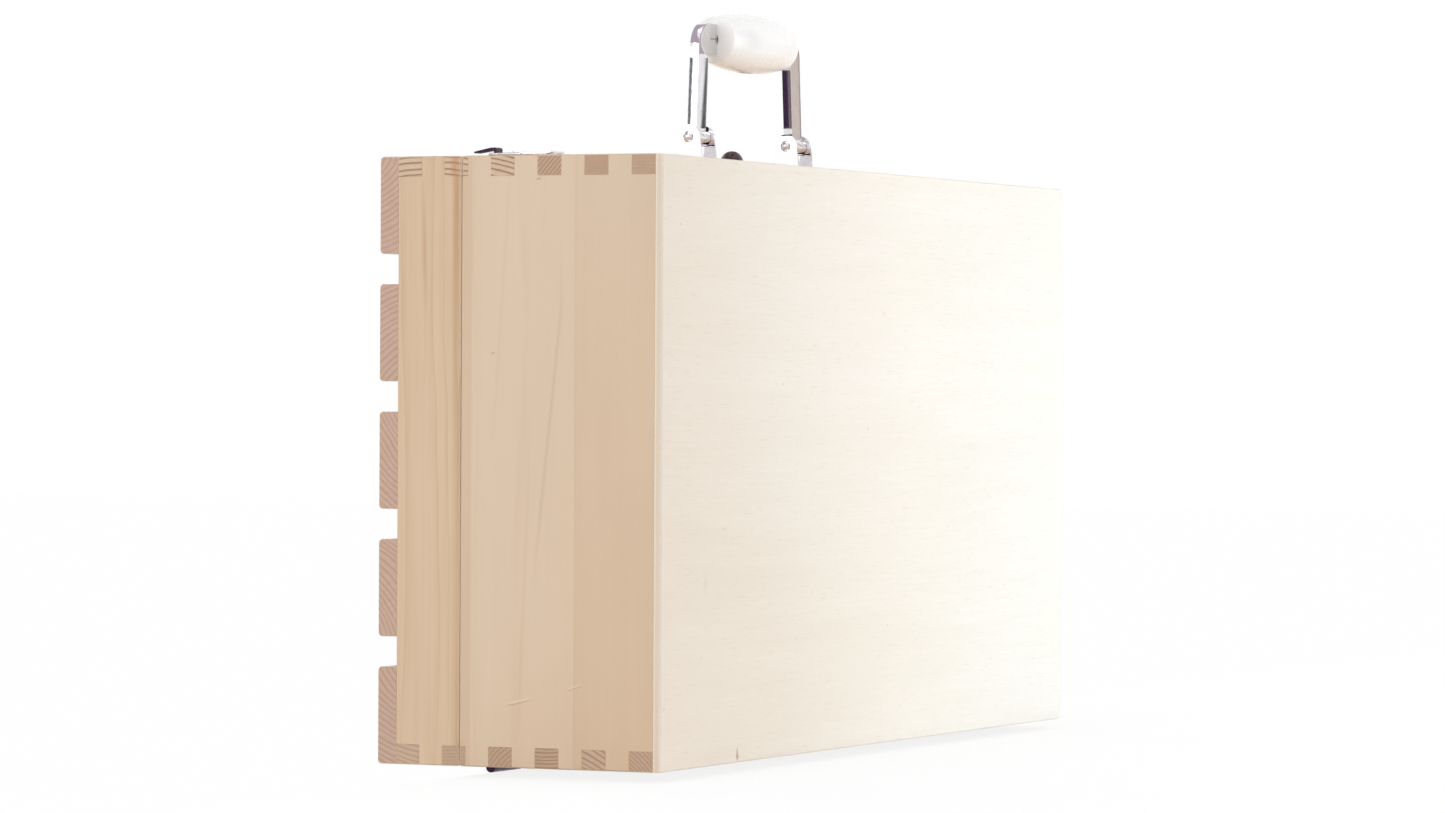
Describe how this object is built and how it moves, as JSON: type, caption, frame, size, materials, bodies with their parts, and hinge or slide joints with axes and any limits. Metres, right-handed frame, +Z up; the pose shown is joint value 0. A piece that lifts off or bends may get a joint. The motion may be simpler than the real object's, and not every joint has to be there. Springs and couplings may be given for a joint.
{
  "type": "jack in the box in a wooden carrying case",
  "caption": "Upright wooden case with finger-jointed corners, a slatted drop front, toggle catches, a swinging carry handle and a sprung jack inside.",
  "frame": {"origin": "centre of the bounding box's footprint, on the plane that the hinge knuckles and rear feet stand on", "axes": "+X along the length of the case, +Y from the slatted lid to the plywood back, +Z up"},
  "size_m": [0.54, 0.1536, 0.3897],
  "materials": {
    "board_wood": "oiled, satin",
    "slat_wood": "oiled, satin",
    "birch_ply": "unfinished, matt",
    "dark_steel": "dark satin",
    "foot_rubber": "matt",
    "nickel": "polished",
    "white_lacquer": "white lacquer, satin",
    "spring_steel": "drawn wire",
    "button_black": "gloss",
    "zinc_steel": "zinc plated",
    "painted_wood_red": "painted, satin",
    "painted_wood_blue": "painted, satin",
    "painted_wood_yellow": "painted, satin",
    "natural_wood": "natural, satin"
  },
  "bodies": {
    "case": {"body_top_board": "board_wood", "body_bottom_board": "board_wood", "body_right_end": "board_wood", "body_left_end": "board_wood", "back_panel": "birch_ply", "hinge_body_leaf_right": "dark_steel", "hinge_body_leaf_left": "dark_steel", "hinge_pins": "dark_steel", "hinge_body_screws": "dark_steel", "rear_feet": "foot_rubber", "catch_base_right": "dark_steel", "catch_base_left": "dark_steel", "catch_pins": "dark_steel", "catch_base_screws": "dark_steel", "handle_bracket_right": "nickel", "handle_bracket_left": "nickel", "handle_rivets": "nickel", "handle_bracket_screws": "nickel", "button_bezel": "nickel", "button_spring": "spring_steel", "latch_bracket": "zinc_steel", "latch_pin": "spring_steel", "latch_bracket_screws": "zinc_steel", "spring_block_board": "board_wood", "jack_spring": "spring_steel"},
    "lid": {"lid_top_rail": "board_wood", "lid_bottom_rail": "board_wood", "lid_right_rail": "board_wood", "lid_left_rail": "board_wood", "slat_1": "slat_wood", "slat_2": "slat_wood", "slat_3": "slat_wood", "slat_4": "slat_wood", "slat_5": "slat_wood", "hinge_lid_leaf_right": "dark_steel", "hinge_lid_leaf_left": "dark_steel", "hinge_lid_screws": "dark_steel", "catch_keeper_right": "dark_steel", "catch_keeper_left": "dark_steel", "catch_keeper_screws": "dark_steel", "lid_strike": "zinc_steel", "lid_strike_screws": "zinc_steel"},
    "handle": {"handle_post_right": "nickel", "handle_post_left": "nickel", "handle_grip": "white_lacquer", "handle_rod": "spring_steel"},
    "catch_lever_right": {"catch_lever_right": "nickel"},
    "catch_lever_left": {"catch_lever_left": "nickel"},
    "catch_loop_right": {"catch_loop_right": "dark_steel"},
    "catch_loop_left": {"catch_loop_left": "dark_steel"},
    "button": {"release_button": "button_black"},
    "latch_lever": {"latch_lever": "zinc_steel"},
    "jack": {"jack_platform": "painted_wood_red", "jack_gown": "painted_wood_blue", "jack_collar": "painted_wood_yellow", "jack_head": "natural_wood", "jack_hat": "painted_wood_red", "jack_arms": "painted_wood_blue"}
  },
  "joints": [
    {"name": "lid_hinge", "type": "hinge", "parent": "case", "child": "lid", "pos_m": [0, -0.03255, 0.0026], "axis": [1, 0, 0], "range_deg": [0, 90]},
    {"name": "handle_swing", "type": "hinge", "parent": "case", "child": "handle", "pos_m": [0, 0, 0.3222], "axis": [1, 0, 0], "range_deg": [-88, 88]},
    {"name": "catch_right_throw", "type": "hinge", "parent": "case", "child": "catch_lever_right", "pos_m": [0.224, -0.02605, 0.3078], "axis": [1, 0, 0], "range_deg": [0, 116]},
    {"name": "loop_right_swing", "type": "hinge", "parent": "catch_lever_right", "child": "catch_loop_right", "pos_m": [0.224, -0.02005, 0.3075], "axis": [1, 0, 0], "range_deg": [-91, 0]},
    {"name": "catch_left_throw", "type": "hinge", "parent": "case", "child": "catch_lever_left", "pos_m": [-0.224, -0.02605, 0.3078], "axis": [1, 0, 0], "range_deg": [0, 116]},
    {"name": "loop_left_swing", "type": "hinge", "parent": "catch_lever_left", "child": "catch_loop_left", "pos_m": [-0.224, -0.02005, 0.3075], "axis": [1, 0, 0], "range_deg": [-91, 0]},
    {"name": "button_press", "type": "slide", "parent": "case", "child": "button", "axis": [0, 0, -1], "range_m": [0, 0.003], "stiffness_N_per_m": 400, "deforming": ["button_spring"]},
    {"name": "latch_lift", "type": "hinge", "parent": "case", "child": "latch_lever", "pos_m": [0, -0.02205, 0.286], "axis": [1, 0, 0], "range_deg": [-12.1, 0]},
    {"name": "jack_pop", "type": "slide", "parent": "case", "child": "jack", "axis": [0, -1, 0], "range_m": [0, 0.19], "deforming": ["jack_spring"]}
  ],
  "couplings": [
    {"joint": "catch_right_throw", "follows": "lid_hinge", "ratio": 1.2778},
    {"joint": "catch_left_throw", "follows": "lid_hinge", "ratio": 1.2778},
    {"joint": "loop_right_swing", "follows": "lid_hinge", "ratio": -1},
    {"joint": "loop_left_swing", "follows": "lid_hinge", "ratio": -1},
    {"joint": "jack_pop", "follows": "lid_hinge", "m_per_rad": 0.1209},
    {"joint": "latch_lift", "follows": "button_press", "rad_per_m": -69.8}
  ]
}
